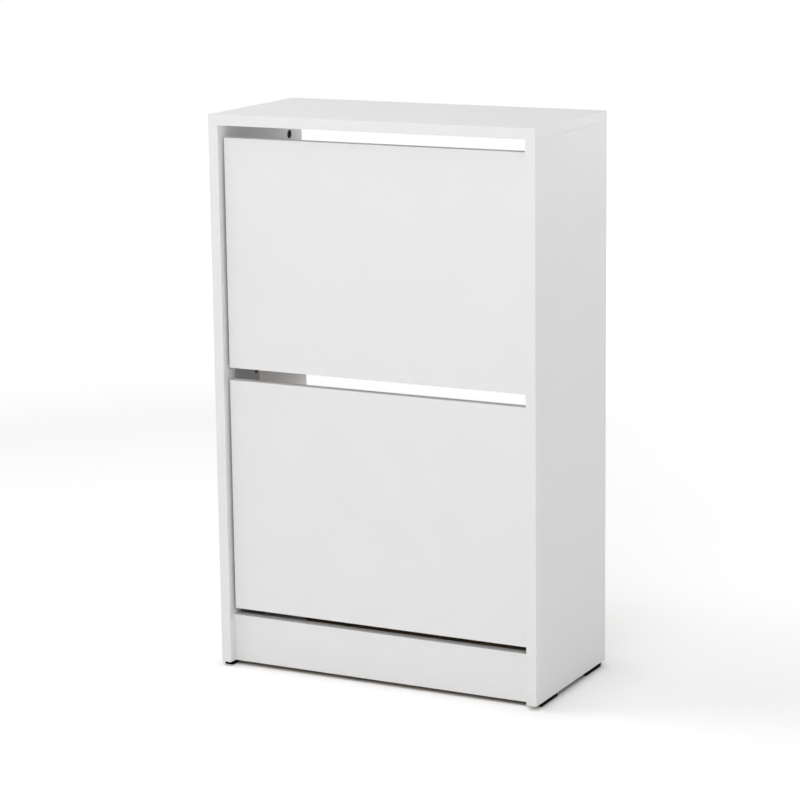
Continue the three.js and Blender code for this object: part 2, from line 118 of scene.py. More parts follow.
# ---- materials -----------------------------------------------------------------------------------------
class Nodes:
    """A new material's node tree, with short calls for the nodes used here."""

    def __init__(self, name):
        self.material = bpy.data.materials.new(name)
        self.material.use_nodes = True
        self.tree = self.material.node_tree
        self.shader = self.tree.nodes["Principled BSDF"]

    def link(self, source, target):
        self.tree.links.new(source, target)

    def set(self, **values):
        for name, value in values.items():
            self.shader.inputs[name.replace("_", " ")].default_value = value

    def coordinates(self, scale=(1, 1, 1)):
        """Object coordinates in millimetres, stretched by scale."""
        place = self.tree.nodes.new("ShaderNodeTexCoord")
        mapping = self.tree.nodes.new("ShaderNodeMapping")
        mapping.inputs["Scale"].default_value = [value / MM for value in scale]
        self.link(place.outputs["Object"], mapping.inputs["Vector"])
        return mapping.outputs["Vector"]

    def noise(self, vector, size, detail=2.0, roughness=0.5):
        """Noise whose largest features are size millimetres across."""
        node = self.tree.nodes.new("ShaderNodeTexNoise")
        node.inputs["Scale"].default_value = 1 / size
        node.inputs["Detail"].default_value = detail
        node.inputs["Roughness"].default_value = roughness
        self.link(vector, node.inputs["Vector"])
        return node.outputs["Fac"]

    def voronoi(self, vector, size, output, feature="F1"):
        node = self.tree.nodes.new("ShaderNodeTexVoronoi")
        node.feature = feature
        node.inputs["Scale"].default_value = 1 / size
        self.link(vector, node.inputs["Vector"])
        return node.outputs[output]

    def ramp(self, factor, stops):
        """A colour ramp from [position, colour] stops; a colour may be one grey number."""
        node = self.tree.nodes.new("ShaderNodeValToRGB")
        elements = node.color_ramp.elements
        while len(elements) < len(stops):
            elements.new(0.5)
        for element, (position, colour) in zip(elements, stops):
            element.position = position
            element.color = (*colour, 1) if isinstance(colour, tuple) else (colour, colour, colour, 1)
        self.link(factor, node.inputs["Fac"])
        return node.outputs["Color"]

    def multiply(self, first, second):
        """One colour times another."""
        node = self.tree.nodes.new("ShaderNodeMix")
        node.data_type = "RGBA"
        node.blend_type = "MULTIPLY"
        node.inputs["Factor"].default_value = 1.0
        self.link(first, node.inputs["A"])
        self.link(second, node.inputs["B"])
        return node.outputs["Result"]

    def colour(self, socket):
        self.link(socket, self.shader.inputs["Base Color"])

    def roughness(self, factor, low, high):
        """Roughness that follows factor from low to high."""
        node = self.tree.nodes.new("ShaderNodeMapRange")
        node.inputs["To Min"].default_value = low
        node.inputs["To Max"].default_value = high
        self.link(factor, node.inputs["Value"])
        self.link(node.outputs["Result"], self.shader.inputs["Roughness"])

    def bump(self, height, depth, strength):
        """Bump whose full height is depth millimetres."""
        node = self.tree.nodes.new("ShaderNodeBump")
        node.inputs["Strength"].default_value = strength
        node.inputs["Distance"].default_value = depth * MM
        self.link(height, node.inputs["Height"])
        before = self.shader.inputs["Normal"].links
        if before:
            self.link(before[0].from_socket, node.inputs["Normal"])
        self.link(node.outputs["Normal"], self.shader.inputs["Normal"])


def white_foil(name, roughness, grain, relief):
    """Satin white decorative foil: a pebble as strong as relief, and a wider unevenness of the board."""
    n = Nodes(name)
    place = n.coordinates()
    pebble = n.noise(place, grain, detail=3.0, roughness=0.6)
    cloud = n.noise(place, 90, detail=2.0)
    n.colour(n.ramp(cloud, [(0.3, (0.833, 0.833, 0.832)), (0.7, (0.847, 0.847, 0.845))]))
    n.roughness(pebble, roughness - 0.05, roughness + 0.06)
    n.bump(cloud, 0.05, 0.25)
    n.bump(pebble, 0.02, relief)
    n.set(IOR=1.5)
    return n.material


def raw_chipboard():
    """Unbanded chipboard: pressed wood chips with dark pores between them."""
    n = Nodes("raw_chipboard")
    place = n.coordinates((1, 1, 2.2))
    chips = n.voronoi(place, 2.6, "Color")
    gaps = n.voronoi(place, 2.6, "Distance", "DISTANCE_TO_EDGE")
    fibres = n.noise(n.coordinates((0.6, 0.6, 3)), 0.7, detail=4.0, roughness=0.7)
    tan = n.ramp(chips, [(0.1, (0.29, 0.21, 0.13)), (0.5, (0.42, 0.32, 0.21)), (0.9, (0.55, 0.44, 0.31))])
    pores = n.ramp(gaps, [(0.0, 0.35), (0.09, 1.0)])
    streaks = n.ramp(fibres, [(0.25, 0.72), (0.7, 1.0)])
    n.colour(n.multiply(n.multiply(tan, pores), streaks))
    n.roughness(fibres, 0.75, 0.95)
    n.bump(pores, 0.35, 0.8)
    n.bump(fibres, 0.15, 0.7)
    return n.material


def painted_fibreboard():
    """Thin fibreboard with a roller coat of white paint, whose stipple is finer than the foil's pebble."""
    n = Nodes("painted_fibreboard")
    place = n.coordinates()
    stipple = n.noise(place, 0.9, detail=3.0, roughness=0.65)
    cloud = n.noise(place, 60, detail=3.0)
    n.colour(n.ramp(cloud, [(0.3, (0.79, 0.785, 0.765)), (0.7, (0.83, 0.825, 0.808))]))
    n.roughness(stipple, 0.45, 0.62)
    n.bump(stipple, 0.05, 0.6)
    return n.material


def raw_fibreboard():
    """The unpainted back of the thin board: brown felted fibres, with the press screen's fine mesh."""
    n = Nodes("raw_fibreboard")
    place = n.coordinates()
    felt = n.noise(place, 1.2, detail=5.0, roughness=0.75)
    cloud = n.noise(place, 14, detail=4.0, roughness=0.65)
    flecks = n.voronoi(place, 3.5, "Distance")
    brown = n.ramp(cloud, [(0.3, (0.32, 0.215, 0.13)), (0.7, (0.38, 0.265, 0.17))])
    fibres = n.ramp(felt, [(0.25, 0.75), (0.65, 1.0)])
    specks = n.ramp(flecks, [(0.05, 0.62), (0.16, 1.0)])
    n.colour(n.multiply(n.multiply(brown, fibres), specks))
    n.roughness(felt, 0.68, 0.85)
    n.bump(felt, 0.12, 0.7)
    return n.material


def moulded_plastic(name, colour, roughness, sheen=0.5):
    """Moulded plastic: a spark-eroded grain and a faint flow unevenness. sheen is its specular level."""
    n = Nodes(name)
    place = n.coordinates()
    grain = n.noise(place, 0.45, detail=2.0, roughness=0.6)
    flow = n.noise(place, 25, detail=1.0)
    dark = tuple(value * 0.93 for value in colour)
    n.colour(n.ramp(flow, [(0.35, dark), (0.65, colour)]))
    n.roughness(grain, roughness - 0.07, roughness + 0.08)
    n.bump(grain, 0.03, 0.7)
    n.set(IOR=1.49, Specular_IOR_Level=sheen)
    return n.material


def cast_zinc():
    """Blackened zinc die casting with slightly bright, rubbed high spots."""
    n = Nodes("cast_zinc")
    place = n.coordinates()
    cast = n.noise(place, 0.8, detail=3.0, roughness=0.7)
    rubbed = n.noise(place, 3.5, detail=2.0)
    n.colour(n.ramp(rubbed, [(0.5, (0.004, 0.004, 0.004)), (0.8, (0.014, 0.014, 0.0145))]))
    n.roughness(cast, 0.45, 0.7)
    n.bump(cast, 0.04, 0.6)
    n.set(Metallic=0.1, Specular_IOR_Level=0.12)
    return n.material


def black_screw_steel():
    """Phosphated screw steel: nearly black, with a dry, slightly mottled surface."""
    n = Nodes("black_screw_steel")
    place = n.coordinates()
    crystals = n.noise(place, 0.35, detail=3.0, roughness=0.7)
    mottle = n.noise(place, 1.8, detail=2.0)
    n.colour(n.ramp(mottle, [(0.35, (0.016, 0.016, 0.017)), (0.7, (0.034, 0.034, 0.035))]))
    n.roughness(crystals, 0.42, 0.62)
    n.bump(crystals, 0.012, 0.5)
    n.set(Metallic=0.5)
    return n.material


def zinc_plate():
    """Zinc-plated steel: bright, with a cloudy passivation and fine turning marks."""
    n = Nodes("zinc_plate")
    place = n.coordinates()
    cloud = n.noise(place, 2.5, detail=3.0, roughness=0.6)
    marks = n.noise(n.coordinates((1, 6, 6)), 0.8, detail=2.0)
    n.colour(n.ramp(cloud, [(0.3, (0.52, 0.53, 0.55)), (0.7, (0.66, 0.66, 0.665))]))
    n.roughness(marks, 0.22, 0.38)
    n.bump(marks, 0.01, 0.4)
    n.set(Metallic=1.0)
    return n.material


def raw_beech():
    """Beech dowel: grain along the dowel, with the short dark flecks of beech."""
    n = Nodes("raw_beech")
    grain = n.noise(n.coordinates((1, 1, 0.08)), 0.9, detail=4.0, roughness=0.6)
    flecks = n.voronoi(n.coordinates((1, 1, 0.3)), 0.9, "Distance")
    wood = n.ramp(grain, [(0.3, (0.47, 0.28, 0.14)), (0.7, (0.64, 0.42, 0.23))])
    marks = n.ramp(flecks, [(0.05, 0.7), (0.2, 1.0)])
    n.colour(n.multiply(wood, marks))
    n.roughness(grain, 0.6, 0.8)
    n.bump(grain, 0.06, 0.6)
    return n.material


FOIL = white_foil("white_foil", 0.43, 1.6, 0.5)
EDGE_BAND = white_foil("white_edge_band", 0.4, 2.4, 0.2)
CHIPBOARD = raw_chipboard()
PAINTED = painted_fibreboard()
FIBRE = raw_fibreboard()
GREY_PLASTIC = moulded_plastic("grey_plastic", (0.46, 0.465, 0.47), 0.46)
BLACK_PLASTIC = moulded_plastic("black_plastic", (0.003, 0.003, 0.003), 0.7, sheen=0.04)
CAST_ZINC = cast_zinc()
ZINC = zinc_plate()
BLACK_STEEL = black_screw_steel()
BEECH = raw_beech()


# ---- mesh helpers --------------------------------------------------------------------------------------
SHARP_ANGLE = math.radians(35)
ALONG = {
    "x": Matrix.Rotation(math.radians(90), 4, "Y"),
    "-x": Matrix.Rotation(math.radians(-90), 4, "Y"),
    "y": Matrix.Rotation(math.radians(-90), 4, "X"),
    "z": Matrix.Identity(4),
}


def to_object(name, bm, materials):
    """A linked object from a bmesh in millimetres."""
    bmesh.ops.recalc_face_normals(bm, faces=bm.faces[:])
    mesh = bpy.data.meshes.new(name)
    bm.to_mesh(mesh)
    bm.free()
    for material in materials:
        mesh.materials.append(material)
    thing = bpy.data.objects.new(name, mesh)
    bpy.context.scene.collection.objects.link(thing)
    return thing


def combine(thing, others, operation):
    """Joins the others to a thing, or cuts them from it. The others are used up."""
    for other in others:
        modifier = thing.modifiers.new("combine", "BOOLEAN")
        modifier.operation = operation
        modifier.solver = "EXACT"
        modifier.object = other
    bpy.context.view_layer.update()
    solid = thing.evaluated_get(bpy.context.evaluated_depsgraph_get())
    mesh = bpy.data.meshes.new_from_object(solid)
    thing.modifiers.clear()
    thing.data = mesh
    for other in others:
        bpy.data.objects.remove(other)


def finish_piece(thing, body, nodes):
    """Scales a thing to metres, smooths its rounded faces, and puts it in the frame."""
    mesh = thing.data
    mesh.transform(Matrix.Scale(MM, 4))
    mesh.polygons.foreach_set("use_smooth", [True] * len(mesh.polygons))
    mesh.set_sharp_from_angle(angle=SHARP_ANGLE)
    weighted = thing.modifiers.new("weighted_normals", "WEIGHTED_NORMAL")
    weighted.keep_sharp = True
    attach(thing, body)
    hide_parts(*nodes)


def rounded_box(low, high, radius, segments=3):
    """A box from its lowest to its highest corner, with rounded edges."""
    bm = bmesh.new()
    bmesh.ops.create_cube(bm, size=1)
    size = Vector(high) - Vector(low)
    middle = (Vector(high) + Vector(low)) / 2
    bmesh.ops.scale(bm, vec=size, verts=bm.verts[:])
    bmesh.ops.translate(bm, vec=middle, verts=bm.verts[:])
    bmesh.ops.bevel(
        bm, geom=bm.edges[:], offset=radius, segments=segments, profile=0.5, affect="EDGES"
    )
    return bm


def mark_faces(bm, directions):
    """Gives each flat face that points in one of the directions that direction's material number."""
    bm.normal_update()
    for face in bm.faces:
        for direction, number in directions.items():
            if face.normal.dot(Vector(direction)) > 0.999:
                face.material_index = number


def slab(outline, x0, x1, edge, segments=2):
    """A flat moulding: an outline in depth and height, extruded from x0 to x1, with rounded edges."""
    bm = bmesh.new()
    corners = [bm.verts.new((x0, y, z)) for y, z in outline]
    bm.faces.new(corners)
    extruded = bmesh.ops.extrude_face_region(bm, geom=bm.faces[:])
    moved = [item for item in extruded["geom"] if isinstance(item, bmesh.types.BMVert)]
    bmesh.ops.translate(bm, vec=(x1 - x0, 0, 0), verts=moved)
    rims = [e for e in bm.edges if abs(e.verts[0].co.x - e.verts[1].co.x) < 1e-6]
    bmesh.ops.bevel(bm, geom=rims, offset=edge, segments=segments, profile=0.5, affect="EDGES")
    return bm


def turned(profile, sides, place, axis="z"):
    """A body of revolution from [radius, height] pairs, from end to end along an axis through place."""
    bm = bmesh.new()
    rings = []
    for radius, height in profile:
        if radius == 0:
            rings.append([bm.verts.new((0, 0, height))])
            continue
        angles = [2 * math.pi * i / sides for i in range(sides)]
        rings.append([bm.verts.new((radius * math.cos(a), radius * math.sin(a), height)) for a in angles])
    for lower, upper in zip(rings, rings[1:]):
        for i in range(sides):
            j = (i + 1) % sides
            if len(lower) == 1:
                bm.faces.new((lower[0], upper[j], upper[i]))
            elif len(upper) == 1:
                bm.faces.new((lower[i], lower[j], upper[0]))
            else:
                bm.faces.new((lower[i], lower[j], upper[j], upper[i]))
    bmesh.ops.transform(bm, matrix=Matrix.Translation(place) @ ALONG[axis], verts=bm.verts[:])
    return bm


def cylinder(radius, start, end, sides, place, axis="z"):
    return turned([(0, start), (radius, start), (radius, end), (0, end)], sides, place, axis)


def mirrored(thing):
    """Mirrors a thing that was made for the right-hand side to the left."""
    thing.data.transform(Matrix.Scale(-1, 4, (1, 0, 0)))
    thing.data.flip_normals()


def arc(centre, radius, start, end, steps):
    """Points on an arc from a start angle to an end angle, in degrees."""
    points = []
    for i in range(steps + 1):
        angle = math.radians(start + (end - start) * i / steps)
        points.append((centre[0] + radius * math.cos(angle), centre[1] + radius * math.sin(angle)))
    return points


def curve(start, control, end, steps):
    """Points on a quadratic curve, without its first point."""
    points = []
    for i in range(1, steps + 1):
        t = i / steps
        a, b, c = (1 - t) ** 2, 2 * t * (1 - t), t**2
        points.append(tuple(a * s + b * m + c * e for s, m, e in zip(start, control, end)))
    return points


# ---- boards --------------------------------------------------------------------------------------------
FOIL_EDGE = 0.4  # radius of a banded board's arris
THIN_EDGE = 0.3  # radius of a thin board's arris
CAM_BORE = (CAM_RADIUS + FIT, CAM_DEPTH + 0.5)  # radius and depth

# Material numbers in the two kinds of board. The number 0 is a foiled face, or bare fibreboard.
PANEL_MATERIALS = (FOIL, EDGE_BAND, CHIPBOARD)
BANDED = 1
RAW = 2
SHEET_MATERIALS = (FIBRE, PAINTED)
PAINTED_FACE = 1

FORWARD = (0, -1, 0)
BACKWARD = (0, 1, 0)
LEFTWARD = (-1, 0, 0)
RIGHTWARD = (1, 0, 0)
UPWARD = (0, 0, 1)
DOWNWARD = (0, 0, -1)


def plain_board(node, body, directions):
    """A foiled board, with the faces in some directions banded or raw."""
    low, high = node_box(node)
    bm = rounded_box(low, high, FOIL_EDGE)
    mark_faces(bm, directions)
    board = to_object(f"{node}_board", bm, PANEL_MATERIALS)
    finish_piece(board, body, [node])


def side_panel(side):
    """A side panel, with the round bores for the cams on its inner face."""
    node = f"side_panel_{side}"
    low, high = node_box(node)
    bm = rounded_box(low, high, FOIL_EDGE)
    mark_faces(bm, {FORWARD: BANDED, BACKWARD: BANDED, DOWNWARD: RAW, UPWARD: RAW})
    panel = to_object(f"{node}_board", bm, PANEL_MATERIALS)
    inner_x, outward = (-INNER_X, "-x") if side == "left" else (INNER_X, "x")
    radius, depth = CAM_BORE
    bores = []
    for end in ENDS:
        middle = node_middle(f"cam_lock_{end}_{side}")
        bore = cylinder(radius, -2, depth, 48, (inner_x, middle.y, middle.z), outward)
        for face in bore.faces:
            face.material_index = RAW
        bores.append(to_object("bore", bore, PANEL_MATERIALS))
    combine(panel, bores, "DIFFERENCE")
    finish_piece(panel, "carcass", [node])


def make_boards():
    banded_top = {UPWARD: BANDED, DOWNWARD: RAW}
    banded_ends = {LEFTWARD: BANDED, RIGHTWARD: BANDED}
    plain_board("top_panel", "carcass", {FORWARD: BANDED, BACKWARD: BANDED, **banded_ends})
    plain_board("plinth", "carcass", banded_top)
    plain_board("rear_rail_upper", "carcass", banded_top)
    plain_board("rear_rail_middle", "carcass", banded_top)
    # Painted shade: the lower rail's inner face is raw chipboard, a darker face that stands in for the
    # shade of the cavity seen through the gap under the lower door.
    plain_board("rear_rail_lower", "carcass", {**banded_top, FORWARD: RAW})
    for level in LEVELS:
        plain_board(f"{level}_door", BODY[level], {UPWARD: BANDED, DOWNWARD: BANDED, **banded_ends})
    for side in SIDES:
        side_panel(side)


def thin_board(level, name, painted):
    """Thin fibreboard, painted on the face towards the shoes and raw on the other and on its edges."""
    node = f"{level}_{name}"
    low, high = node_box(node)
    bm = rounded_box(low, high, THIN_EDGE, 2)
    mark_faces(bm, {painted: PAINTED_FACE})
    board = to_object(f"{node}_sheet", bm, SHEET_MATERIALS)
    finish_piece(board, BODY[level], [node])


def make_thin_boards(level):
    thin_board(level, "floor_board", UPWARD)
    thin_board(level, "divider_board", FORWARD)
    thin_board(level, "rear_board", FORWARD)


# ---- fasteners -----------------------------------------------------------------------------------------
HEAD_RADIUS = 3.6
SHANK_RADIUS = 1.3
THREAD_RADIUS = 1.75
THREAD_PITCH = 1.2
NECK_RADIUS = 1.6
SCREW_TIP = 3  # length of the smooth point
THREAD_END = -3.6  # height under the head where the thread stops
CROSS_HALF = 0.5
CROSS_REACH = 2.0
CROSS_DEPTH = 1.5

# The countersunk hole for a screw, as [radius, height] pairs from the face it is sunk in.
SINK = [(0, -9), (1.9, -9), (1.9, -2.4), (4.0, -0.35), (4.0, 1), (0, 1)]


def screw(node, body, axis, place, material, slot):
    """A countersunk screw with a cross recess and a rolled thread. place is the middle of its head."""
    profile = [(0, -SCREW_LENGTH), (0.25, -SCREW_LENGTH + 0.4)]
    height = -SCREW_LENGTH + SCREW_TIP
    while height < THREAD_END:
        crest = (THREAD_RADIUS, height + THREAD_PITCH * 0.35)
        profile += [(SHANK_RADIUS, height), crest, (SHANK_RADIUS, height + THREAD_PITCH * 0.7)]
        height += THREAD_PITCH
    profile += [(NECK_RADIUS, -2.6), (NECK_RADIUS, -2.2)]
    profile += [(HEAD_RADIUS, -0.35), (HEAD_RADIUS, -0.15), (HEAD_RADIUS - 0.15, 0), (0, 0)]
    thing = to_object(f"{node}_steel", turned(profile, 32, (0, 0, 0)), (material,))
    cross = []
    for half, reach in ((CROSS_HALF, CROSS_REACH), (CROSS_REACH, CROSS_HALF)):
        bm = rounded_box((-half, -reach, -CROSS_DEPTH), (half, reach, 1), 0.12, 1)
        cross.append(to_object("recess", bm, (material,)))
    combine(thing, cross, "DIFFERENCE")
    thing.data.transform(Matrix.Translation(place) @ ALONG[axis])
    finish_piece(thing, body, [node])


def make_screws():
    for level in LEVELS:
        for side in SIDES:
            for index in (1, 2):
                node = f"{level}_plate_screw_{side}_{index}"
                low, high = node_box(node)
                middle = node_middle(node)
                head_x, axis = (low.x, "-x") if side == "right" else (high.x, "x")
                screw(node, "carcass", axis, (head_x, middle.y, middle.z), BLACK_STEEL, "black_metal")
                node = f"{level}_bracket_screw_{side}_{index}"
                low, high = node_box(node)
                middle = node_middle(node)
                screw(node, BODY[level], "y", (middle.x, high.y, middle.z), ZINC, "steel")


CAM_CHAMFER = 0.5
CAM_SLOT_HALF = 0.8
CAM_SLOT_REACH = 3.4
CAM_SLOT_DEPTH = 2
CAM_MOUTH_RADIUS = 3.6
CAM_MOUTH_IN = 8  # distance of the mouth's axis from the drum's face


def cam_lock(end, side):
    """A cam: a drum with a chamfered face, a cross, an arrow-shaped notch and the bolt's mouth."""
    node = f"cam_lock_{end}_{side}"
    low, high = node_box(node)
    middle = node_middle(node)
    rim = [(CAM_RADIUS - CAM_CHAMFER, 0), (CAM_RADIUS, CAM_CHAMFER)]
    profile = [(0, 0), *rim, (CAM_RADIUS, CAM_DEPTH), (0, CAM_DEPTH)]
    thing = to_object(f"{node}_casting", turned(profile, 48, (0, 0, 0), "x"), (CAST_ZINC,))
    tools = []
    for half, reach in ((CAM_SLOT_HALF, CAM_SLOT_REACH), (CAM_SLOT_REACH, CAM_SLOT_HALF)):
        slot = rounded_box((-1, -half, -reach), (CAM_SLOT_DEPTH, half, reach), 0.2, 1)
        tools.append(to_object("recess", slot, (CAST_ZINC,)))
    notch = rounded_box((-1, -0.7, 3.9), (0.7, 0.7, 7), 0.1, 1)
    tools.append(to_object("notch", notch, (CAST_ZINC,)))
    mouth = cylinder(CAM_MOUTH_RADIUS, -3.7, 8, 32, (CAM_MOUTH_IN, 0, 0))
    tools.append(to_object("mouth", mouth, (CAST_ZINC,)))
    combine(thing, tools, "DIFFERENCE")
    if side == "left":
        mirrored(thing)
    face_x = low.x if side == "right" else high.x
    thing.data.transform(Matrix.Translation((face_x, middle.y, middle.z)))
    finish_piece(thing, "carcass", [node])


BALL_RADIUS = 3.2
BOLT_NECK = 2.1
COLLAR_RADIUS = 3.5
BOLT_CORE = 1.9
BOLT_THREAD = 2.5
BOLT_PITCH = 1.7


def cam_bolt(end, side):
    """The cam's bolt: a ball head on a neck, a collar, and a coarse thread in the top panel."""
    node = f"cam_bolt_{end}_{side}"
    high = node_box(node)[1]
    middle = node_middle(node)
    top = high.z - SIDE_TOP
    head_z = -CAM_DROP
    profile = [(0, head_z - BALL_RADIUS)]
    for degrees in range(20, 141, 20):
        angle = math.radians(degrees)
        profile.append((BALL_RADIUS * math.sin(angle), head_z - BALL_RADIUS * math.cos(angle)))
    profile += [(BOLT_NECK, head_z + BALL_RADIUS), (BOLT_NECK, -12)]
    profile += [(COLLAR_RADIUS, -10.5), (COLLAR_RADIUS, -0.8), (COLLAR_RADIUS - 0.3, -0.5)]
    height = 0.3
    while height < top - 2.2:
        profile += [(BOLT_CORE, height), (BOLT_THREAD, height + 0.6), (BOLT_CORE, height + 1.2)]
        height += BOLT_PITCH
    profile += [(1.4, top - 0.6), (0.9, top), (0, top)]
    thing = to_object(f"{node}_zinc", turned(profile, 32, (middle.x, middle.y, SIDE_TOP)), (ZINC,))
    finish_piece(thing, "carcass", [node])


FLUTES = 18
FLUTE_DEPTH = 0.045  # as a share of the dowel's radius


def dowel(end, side):
    """A beech dowel with glue flutes and chamfered ends."""
    node = f"dowel_{end}_{side}"
    low, high = node_box(node)
    middle = node_middle(node)
    radius = (high.x - low.x) / 2
    lower_end = [(0, low.z), (radius - 1, low.z), (radius, low.z + 1)]
    upper_end = [(radius, high.z - 1), (radius - 1, high.z), (0, high.z)]
    bm = turned(lower_end + upper_end, FLUTES * 4, (0, 0, 0))
    for vertex in bm.verts:
        angle = math.atan2(vertex.co.y, vertex.co.x)
        groove = 1 - FLUTE_DEPTH * max(0.0, math.cos(angle * FLUTES))
        if low.z < vertex.co.z < high.z:
            vertex.co.x *= groove
            vertex.co.y *= groove
    bmesh.ops.translate(bm, vec=(middle.x, middle.y, 0), verts=bm.verts[:])
    thing = to_object(f"{node}_beech", bm, (BEECH,))
    finish_piece(thing, "carcass", [node])


PIN_END = 0.8  # radius of the pin's rounded ends


def pivot_pin(level, side):
    """A steel pin with rounded ends."""
    node = f"{level}_pivot_pin_{side}"
    low, high = node_box(node)
    middle = node_middle(node)
    length = high.x - low.x
    rounding = arc((PIN_RADIUS - PIN_END, PIN_END), PIN_END, -90, 0, 4)
    profile = [(0, 0), *rounding, *[(r, length - z) for r, z in reversed(rounding)], (0, length)]
    thing = to_object(f"{node}_zinc", turned(profile, 40, (low.x, middle.y, middle.z), "x"), (ZINC,))
    finish_piece(thing, BODY[level], [node])


FOOT_EDGE = 1.2
NAIL_OFFSET = 15
NAIL_RECESS = [(0, -1), (2.6, -1), (2.6, 1.2), (1.2, 2.4), (0, 2.4)]


def foot(end, side):
    """A black glide: rounded all over, with two nail recesses underneath."""
    node = f"foot_{end}_{side}"
    low, high = node_box(node)
    middle = node_middle(node)
    thing = to_object(f"{node}_glide", rounded_box(low, high, FOOT_EDGE, 4), (BLACK_PLASTIC,))
    recesses = []
    for offset in (-NAIL_OFFSET, NAIL_OFFSET):
        place = (middle.x, middle.y + offset, low.z)
        recesses.append(to_object("recess", turned(NAIL_RECESS, 24, place), (BLACK_PLASTIC,)))
    combine(thing, recesses, "DIFFERENCE")
    finish_piece(thing, "carcass", [node])


def make_fasteners():
    make_screws()
    for side in SIDES:
        for end in ENDS:
            cam_lock(end, side)
            cam_bolt(end, side)
            dowel(end, side)
            foot(end, side)
        for level in LEVELS:
            pivot_pin(level, side)


# ---- pivot plates --------------------------------------------------------------------------------------
MOULDED_EDGE = 0.5
PIN_BORE = PIN_RADIUS + 0.2
PLATE_CORNER = 8
STUD_EDGE = 0.6
FEATHER = 10  # length of the slope that thins the plate to its front edges
FEATHER_EDGE = 0.6  # thickness left at those edges


def grey(name, bm):
    """A grey plastic body, or a tool that cuts one."""
    return to_object(name, bm, (GREY_PLASTIC,))


def plate_outline(low, high, level):
    """The plate's outline. Its toe is set back, to stand behind the plinth."""
    corner = PLATE_CORNER
    toe = FRONT + PLATE_TOE
    step = DOOR_BOTTOM[level] + PLATE_STEP
    points = arc((toe + corner, low.z + corner), corner, 180, 270, 8)
    points += arc((high.y - corner, low.z + corner), corner, 270, 360, 8)
    points += arc((high.y - corner, high.z - corner), corner, 0, 90, 8)
    points += arc((low.y + corner, high.z - corner), corner, 90, 180, 8)
    points += arc((low.y + 2, step + 2), 2, 180, 270, 4)
    points += [(toe, step)]
    return points


def feather(front, bottom, top):
    """A tool that slopes the plate's face away towards a front edge, from bottom to top."""
    bm = rounded_box((-20, -5, bottom), (0, FEATHER + 2, top), 0.01, 1)
    slope = Matrix.Rotation(math.atan2(PLATE_THICKNESS - FEATHER_EDGE, FEATHER), 4, "Z")
    place = Matrix.Translation((INNER_X - FEATHER_EDGE, front, 0))
    bmesh.ops.transform(bm, matrix=place @ slope, verts=bm.verts[:])
    return grey("feather", bm)


def pivot_plate(level, side):
    """A bearing plate on a side panel, with the bore for the pin, the stop stud and two screw holes."""
    node = f"{level}_pivot_plate_{side}"
    low, high = node_box(node)
    face = INNER_X - PLATE_THICKNESS
    outline = plate_outline(low, high, level)
    plate = grey(f"{node}_moulding", slab(outline, face, INNER_X, MOULDED_EDGE))
    pivot_y, pivot_z = pivot_place(level)
    angle = math.radians(STOP_CLOSED)
    stud_place = (face, pivot_y + STOP_RADIUS * math.cos(angle), pivot_z + STOP_RADIUS * math.sin(angle))
    reach = face - (INNER_X - (high.x - low.x))
    foot_radius = STUD_RADIUS + 3
    stud_profile = [
        (0, -2.5),
        (foot_radius, -2.5),
        (foot_radius, 1.4),
        *arc((foot_radius - STUD_EDGE, 1.4), STUD_EDGE, 0, 90, 4),
        *arc((STUD_RADIUS + STUD_EDGE, 2.6), STUD_EDGE, 270, 180, 4),
        (STUD_RADIUS, reach - STUD_EDGE),
        *arc((STUD_RADIUS - STUD_EDGE, reach - STUD_EDGE), STUD_EDGE, 0, 90, 4),
        (0, reach),
    ]
    rim = PIN_RADIUS + 3.5
    collar_profile = [(0, -2.5), (rim, -2.5), (rim, 0.1), (rim - 0.3, 0.4), (0, 0.4)]
    additions = [
        grey("stud", turned(stud_profile, 40, stud_place, "-x")),
        grey("collar", turned(collar_profile, 40, (face, pivot_y, pivot_z), "-x")),
    ]
    combine(plate, additions, "UNION")
    holes = [grey("bore", cylinder(PIN_BORE, -6, 6, 40, (face, pivot_y, pivot_z), "x"))]
    for index in (1, 2):
        middle = node_middle(f"{level}_plate_screw_{side}_{index}")
        holes.append(grey("sink", turned(SINK, 32, (face, middle.y, middle.z), "-x")))
    step = DOOR_BOTTOM[level] + PLATE_STEP
    holes.append(feather(low.y, step - 5, high.z + 5))
    holes.append(feather(FRONT + PLATE_TOE, low.z - 5, step))
    combine(plate, holes, "DIFFERENCE")
    if side == "left":
        mirrored(plate)
    finish_piece(plate, "carcass", [node])


# ---- compartment brackets ------------------------------------------------------------------------------
RIB = 2.2  # thickness of the ribs that hold the thin boards
RIB_DEPTH = 5
RIB_EDGE = 0.4
BOSS_RADIUS = 7


def bracket_outline(level, low, high):
    """The web's outline: full depth at the bottom, sweeping up to a tall front edge behind the door."""
    z = DOOR_BOTTOM[level]
    bottom = z + BRACKET_BOTTOM
    top = z + BRACKET_TOP
    front, rear = low.y, high.y
    points = [(front, bottom), (rear - 8, bottom)]
    points += curve((rear - 8, bottom), (rear, bottom), (rear, bottom + 8), 8)
    points += [(rear, z + 200)]
    points += curve((rear, z + 200), (rear, z + 206), (rear - 8, z + 209), 6)
    points += curve((rear - 8, z + 209), (rear - 80, z + 232), (front + 24, top - 4), 24)
    points += curve((front + 24, top - 4), (front + 14, top), (front, top), 8)
    return points


def stop_slot(level):
    """The curved slot's outline, as it stands with the door shut."""
    pivot = pivot_place(level)
    start, end = STOP_CLOSED, STOP_CLOSED - STOP_TRAVEL
    ends = [arc(pivot, STOP_RADIUS, a, a, 1)[0] for a in (start, end)]
    points = arc(pivot, STOP_RADIUS + SLOT_HALF, end, start, 16)
    points += arc(ends[0], SLOT_HALF, start, start + 180, 12)[1:-1]
    points += arc(pivot, STOP_RADIUS - SLOT_HALF, start, end, 16)
    points += arc(ends[1], SLOT_HALF, end + 180, end + 360, 12)[1:-1]
    return points


